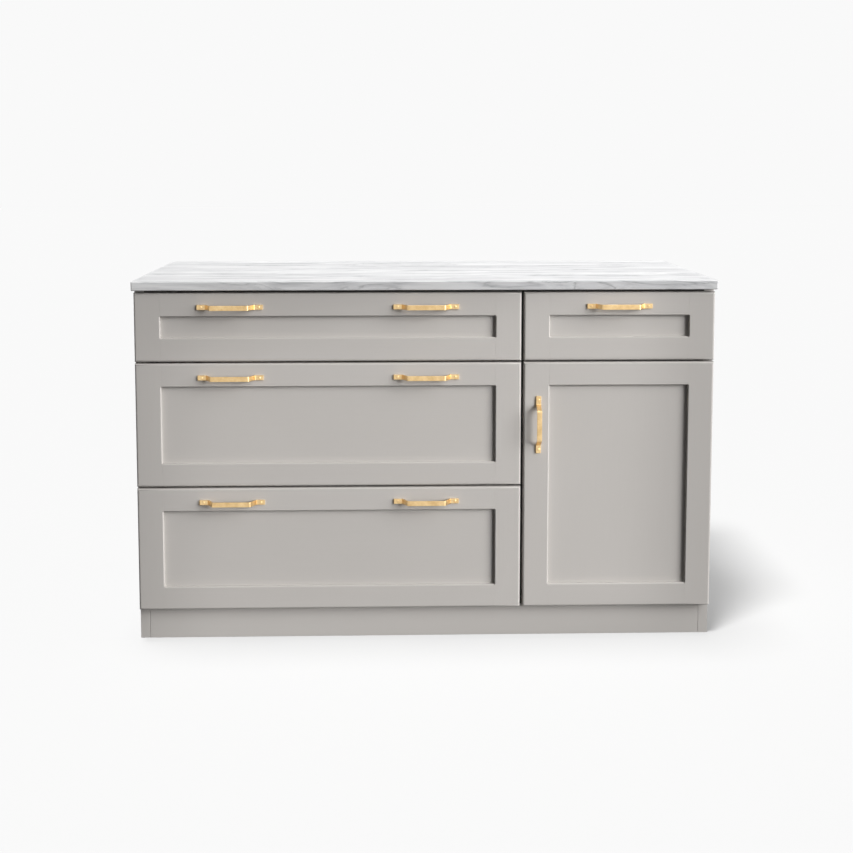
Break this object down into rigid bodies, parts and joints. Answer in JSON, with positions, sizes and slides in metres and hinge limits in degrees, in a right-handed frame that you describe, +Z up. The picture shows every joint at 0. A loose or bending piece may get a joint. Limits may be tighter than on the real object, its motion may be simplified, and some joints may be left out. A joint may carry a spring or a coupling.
{
  "type": "kitchen island unit",
  "caption": "Freestanding kitchen island base with framed drawer and door fronts, strap handles, full-extension runners, concealed hinges and a stone worktop.",
  "frame": {"origin": "on the floor, at the middle of the object's box", "axes": "+X to the right along the fronts, -Y the way the fronts face, +Z up"},
  "size_m": [1.354, 0.668, 0.85],
  "materials": {
    "satin_paint": "satin greige paint on wood",
    "veined_stone": "honed pale stone with long grey veins",
    "aged_brass": "brushed, lightly aged brass",
    "pale_wood": "clear matt lacquer on pale wood",
    "white_board": "matt white faced board",
    "zinc_steel": "bright zinc plated steel",
    "black_plastic": "moulded black plastic"
  },
  "bodies": {
    "root": {"worktop": "veined_stone", "end_panel_left": "satin_paint", "end_panel_right": "satin_paint", "centre_partition": "white_board", "base_board": "white_board", "plinth": "satin_paint", "back_panel": "satin_paint", "top_rails": "white_board", "divider_rails": "white_board", "shelf": "white_board", "shelf_pins": "zinc_steel", "levelling_feet": "black_plastic", "body_runners": "zinc_steel", "hinge_arms": "zinc_steel"},
    "top_drawer": {"top_drawer_frame": "satin_paint", "top_drawer_panel": "satin_paint", "top_drawer_handles": "aged_brass", "top_drawer_handle_screws": "aged_brass", "top_drawer_box_sides": "pale_wood", "top_drawer_box_ends": "pale_wood", "top_drawer_box_bottom": "pale_wood", "top_drawer_runners": "zinc_steel"},
    "top_drawer_middle_members": {"top_drawer_middle_runners": "zinc_steel"},
    "middle_drawer": {"middle_drawer_frame": "satin_paint", "middle_drawer_panel": "satin_paint", "middle_drawer_handles": "aged_brass", "middle_drawer_handle_screws": "aged_brass", "middle_drawer_box_sides": "pale_wood", "middle_drawer_box_ends": "pale_wood", "middle_drawer_box_bottom": "pale_wood", "middle_drawer_runners": "zinc_steel"},
    "middle_drawer_middle_members": {"middle_drawer_middle_runners": "zinc_steel"},
    "bottom_drawer": {"bottom_drawer_frame": "satin_paint", "bottom_drawer_panel": "satin_paint", "bottom_drawer_handles": "aged_brass", "bottom_drawer_handle_screws": "aged_brass", "bottom_drawer_box_sides": "pale_wood", "bottom_drawer_box_ends": "pale_wood", "bottom_drawer_box_bottom": "pale_wood", "bottom_drawer_runners": "zinc_steel"},
    "bottom_drawer_middle_members": {"bottom_drawer_middle_runners": "zinc_steel"},
    "side_drawer": {"side_drawer_frame": "satin_paint", "side_drawer_panel": "satin_paint", "side_drawer_handles": "aged_brass", "side_drawer_handle_screws": "aged_brass", "side_drawer_box_sides": "pale_wood", "side_drawer_box_ends": "pale_wood", "side_drawer_box_bottom": "pale_wood", "side_drawer_runners": "zinc_steel"},
    "side_drawer_middle_members": {"side_drawer_middle_runners": "zinc_steel"},
    "door": {"door_frame": "satin_paint", "door_panel": "satin_paint", "door_handle": "aged_brass", "door_handle_screws": "aged_brass", "hinge_cups": "zinc_steel"},
    "hinge_links": {"hinge_links": "zinc_steel"}
  },
  "joints": [
    {"name": "top_drawer_slide", "type": "slide", "parent": "root", "child": "top_drawer", "axis": [0, -1, 0], "range_m": [0, 0.49]},
    {"name": "top_drawer_middle_slide", "type": "slide", "parent": "root", "child": "top_drawer_middle_members", "axis": [0, -1, 0], "range_m": [0, 0.245]},
    {"name": "middle_drawer_slide", "type": "slide", "parent": "root", "child": "middle_drawer", "axis": [0, -1, 0], "range_m": [0, 0.49]},
    {"name": "middle_drawer_middle_slide", "type": "slide", "parent": "root", "child": "middle_drawer_middle_members", "axis": [0, -1, 0], "range_m": [0, 0.245]},
    {"name": "bottom_drawer_slide", "type": "slide", "parent": "root", "child": "bottom_drawer", "axis": [0, -1, 0], "range_m": [0, 0.49]},
    {"name": "bottom_drawer_middle_slide", "type": "slide", "parent": "root", "child": "bottom_drawer_middle_members", "axis": [0, -1, 0], "range_m": [0, 0.245]},
    {"name": "side_drawer_slide", "type": "slide", "parent": "root", "child": "side_drawer", "axis": [0, -1, 0], "range_m": [0, 0.49]},
    {"name": "side_drawer_middle_slide", "type": "slide", "parent": "root", "child": "side_drawer_middle_members", "axis": [0, -1, 0], "range_m": [0, 0.245]},
    {"name": "hinge_link_turn", "type": "hinge", "parent": "root", "child": "hinge_links", "pos_m": [0.633, -0.278, 0.367], "axis": [0, 0, 1], "range_deg": [-36, 0]},
    {"name": "door_swing", "type": "hinge", "parent": "hinge_links", "child": "door", "pos_m": [0.662, -0.287, 0.367], "axis": [0, 0, 1], "range_deg": [0, 146]}
  ],
  "couplings": [
    {"joint": "top_drawer_middle_slide", "follows": "top_drawer_slide", "ratio": 0.5},
    {"joint": "middle_drawer_middle_slide", "follows": "middle_drawer_slide", "ratio": 0.5},
    {"joint": "bottom_drawer_middle_slide", "follows": "bottom_drawer_slide", "ratio": 0.5},
    {"joint": "side_drawer_middle_slide", "follows": "side_drawer_slide", "ratio": 0.5},
    {"joint": "hinge_link_turn", "follows": "door_swing", "ratio": -0.24658}
  ]
}
